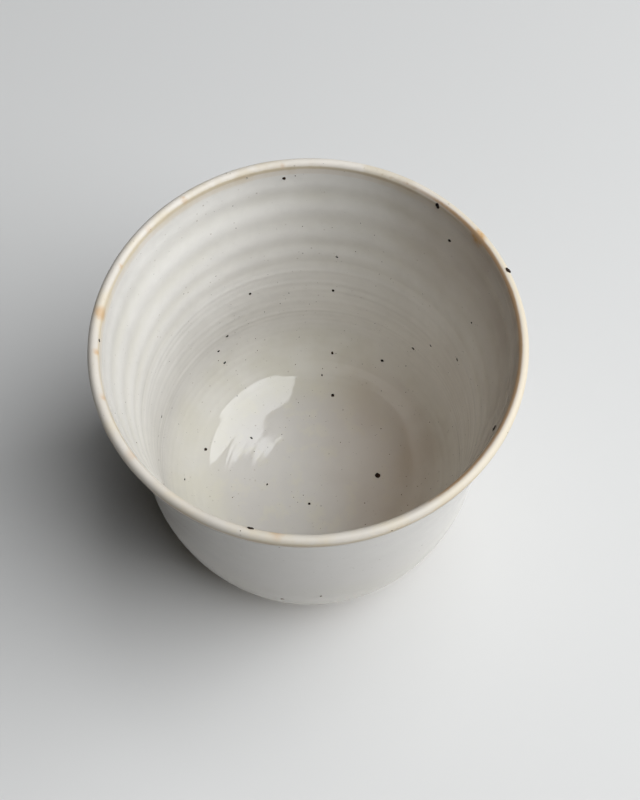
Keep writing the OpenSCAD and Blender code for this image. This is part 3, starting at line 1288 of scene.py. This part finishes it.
lot = random_between(duster, 0.0, 1.0, duster_in["Seed"] + size_seed_step)
fine = duster_in["Finest"] + (duster_in["Coarsest"] - duster_in["Finest"]) * lot ** fine_power
pepper = laid_grains(duster, spread, lying, fine, dust_detail,
                     dust_flatness, dust_narrowest, duster_in["Seed"])
close_tree(duster, pepper, duster_in["Dust"])
print("the duster has", len(duster.tree.nodes), "nodes")

# %% Scatter the dust
grain_faces = 20


def dust(name, glaze_piece, per_square_metre, seed):
    piece = grown(name, glaze_piece.data.copy(), duster.tree, duster_keys, {
        "Per square metre": per_square_metre, "Seed": seed, "Dust": dust_finish})
    print(f"{name}: {len(piece.data.polygons) // grain_faces} grains")
    return piece


dust_inside = dust("dust_inside", inside_skin, per_square_metre=85000.0, seed=11)
dust_lip = dust("dust_lip", lip_skin, per_square_metre=50000.0, seed=5)
dust_outside = dust("dust_outside", outside_skin, per_square_metre=9000.0, seed=8)

# %% [markdown]
# Solids that stay
#
# The clay body shows only at the foot ring, and the glaze in the foot well only from below.
# Their solids are right as they are, so they keep their shape and get a finish.

# %% Dress the solids
def dress(node, material):
    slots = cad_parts[node].data.materials
    slots.clear()
    slots.append(material)


dress("clay_body", clay_finish)
dress("foot_well_glaze", glaze_outside)
print("clay body and foot well are dressed")

# %% [markdown]
# The table
#
# The cup stands on a plain pale table, a little warm. A table with an edge would show a horizon in a
# low view, so this one fades into the backdrop far from the cup, with a Mix Shader.

# %% Table
table_half = 1.2
fade_from = 0.32
fade_full = 0.75
table_cool = (0.633, 0.622, 0.605, 1.0)
table_warm = (0.655, 0.638, 0.616, 1.0)
table_noise = (3.0, 2.0)
table_roughness = 0.75
table_shine = 0.2


def table_paint():
    material, board, shader = new_board("pale_table")
    where = object_place(board)
    colour = board.tint(board.noise(where, *table_noise), table_cool, table_warm)
    board.feed(shader.inputs["Base Color"], colour)
    shader.inputs["Roughness"].default_value = table_roughness
    shader.inputs["Specular IOR Level"].default_value = table_shine
    away = board.node("ShaderNodeVectorMath", {"operation": "LENGTH"}, {0: where}, "Value")
    faded = board.node("ShaderNodeMixShader", {}, {
        0: board.smooth(away, fade_from, fade_full), 1: Wire(board, shader.outputs["BSDF"]),
        2: board.node("ShaderNodeBsdfTransparent")})
    output = next(node for node in material.node_tree.nodes if node.type == "OUTPUT_MATERIAL")
    board.feed(output.inputs["Surface"], faded)
    return material


table_mesh = bpy.data.meshes.new("table")
table_mesh.from_pydata([(x * table_half, y * table_half, 0.0) for x, y in
                        ((-1, -1), (1, -1), (1, 1), (-1, 1))], [], [(0, 1, 2, 3)])
table_mesh.materials.append(table_paint())
table = put("table", table_mesh)
print("table", 2 * table_half, "m wide")

# %% [markdown]
# Light
#
# One broad soft light stands high on the right: a pane the size of a window, so shadows are wide and
# soft. Two small panes step its top corner off. All are area lamps of one brightness, in one plane,
# and the glossy floor of the cup mirrors them as one bright patch. Their light is a little cool and
# the table a little warm, so the table looks neutral and the shaded glaze inside turns warm.

# %% Panes of light
window_corner = Vector((0.06, 0.30, 1.30))
window_turn = math.radians(7)
window_slope = math.radians(40)
lamp_glow = 15.2
lamp_tint = (0.965, 1.0, 1.035)
window_wide = 1.05
step_wide = 0.14
top_wide = 0.06
# Length and width of each pane, and how far past the window's corner it starts
panes = {
    "window_light": (1.35, window_wide, -window_wide),
    "window_step_light": (0.24, step_wide, 0.0),
    "window_corner_light": (0.10, top_wide, step_wide),
}
stand = Matrix.Rotation(window_turn, 4, "Z") @ Matrix.Rotation(window_slope, 4, "Y")
for name, (long, wide, start) in panes.items():
    lamp_data = bpy.data.lights.new(name, "AREA")
    lamp_data.shape = "RECTANGLE"
    lamp_data.size = long
    lamp_data.size_y = wide
    lamp_data.energy = lamp_glow * long * wide
    lamp_data.color = lamp_tint
    lamp = put(name, lamp_data)
    middle = window_corner + stand @ Vector((long / 2, start + wide / 2, 0.0))
    lamp.matrix_world = Matrix.Translation(middle) @ stand
    print(f"{name}: {lamp_data.energy:.1f} W")

# %% [markdown]
# Backdrop
#
# The world is only seen: by the camera, in mirrors and through glass. It is pale at the horizon and
# dark overhead, and it adds no light of its own to matte surfaces, so the shadows stay deep.

# %% Sky
horizon_level = 0.60
ceiling_level = 0.05
ceiling_rise = (0.05, 0.55)
sky_tint = (0.98, 0.99, 1.0, 1.0)

world = bpy.data.worlds.new("sky")
world.use_nodes = True
world.node_tree.nodes.clear()
sky = Board(world.node_tree)
seen = sky.node("ShaderNodeLightPath", {}, {}, "Is Camera Ray")
mirrored = Wire(sky, seen.socket.node.outputs["Is Glossy Ray"])
through = Wire(sky, seen.socket.node.outputs["Is Transmission Ray"])
shown_sky = (seen + mirrored + through).math("MINIMUM", 1.0)
rise = sky.split(sky.node("ShaderNodeTexCoord", {}, {}, "Generated"))[2]
level = shown_sky * sky.smooth(rise, *ceiling_rise).span(horizon_level, ceiling_level)
glow = sky.node("ShaderNodeBackground", {}, {"Color": sky_tint, "Strength": level})
sky.node("ShaderNodeOutputWorld", {}, {"Surface": glow})
bpy.context.scene.world = world
bpy.context.scene.view_settings.view_transform = "Standard"
print("backdrop from", ceiling_level, "overhead to", horizon_level, "at the horizon")

# %% [markdown]
# The pieces on the cup's body
#
# Each new piece rides on the cup's one body, names the solid that it stands for and the finish
# that it takes. The solid that a piece stands for is hidden.

# %% Ride and replace
pieces = [
    (inside_skin, "inner_glaze", "pale_glaze_inside"),
    (lip_skin, "lip_glaze", "toasted_lip_glaze"),
    (outside_skin, "outer_glaze", "pale_glaze_outside"),
    (specks_inside, "iron_specks_inside", "iron_speck"),
    (specks_lip, "iron_specks_lip", "iron_speck"),
    (specks_outside, "iron_specks_outside", "iron_speck"),
    (dust_inside, None, "iron_speck"),
    (dust_lip, None, "iron_speck"),
    (dust_outside, None, "iron_speck"),
]
for piece, node, slot in pieces:
    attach(piece, "root")
    if node:
        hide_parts(node)
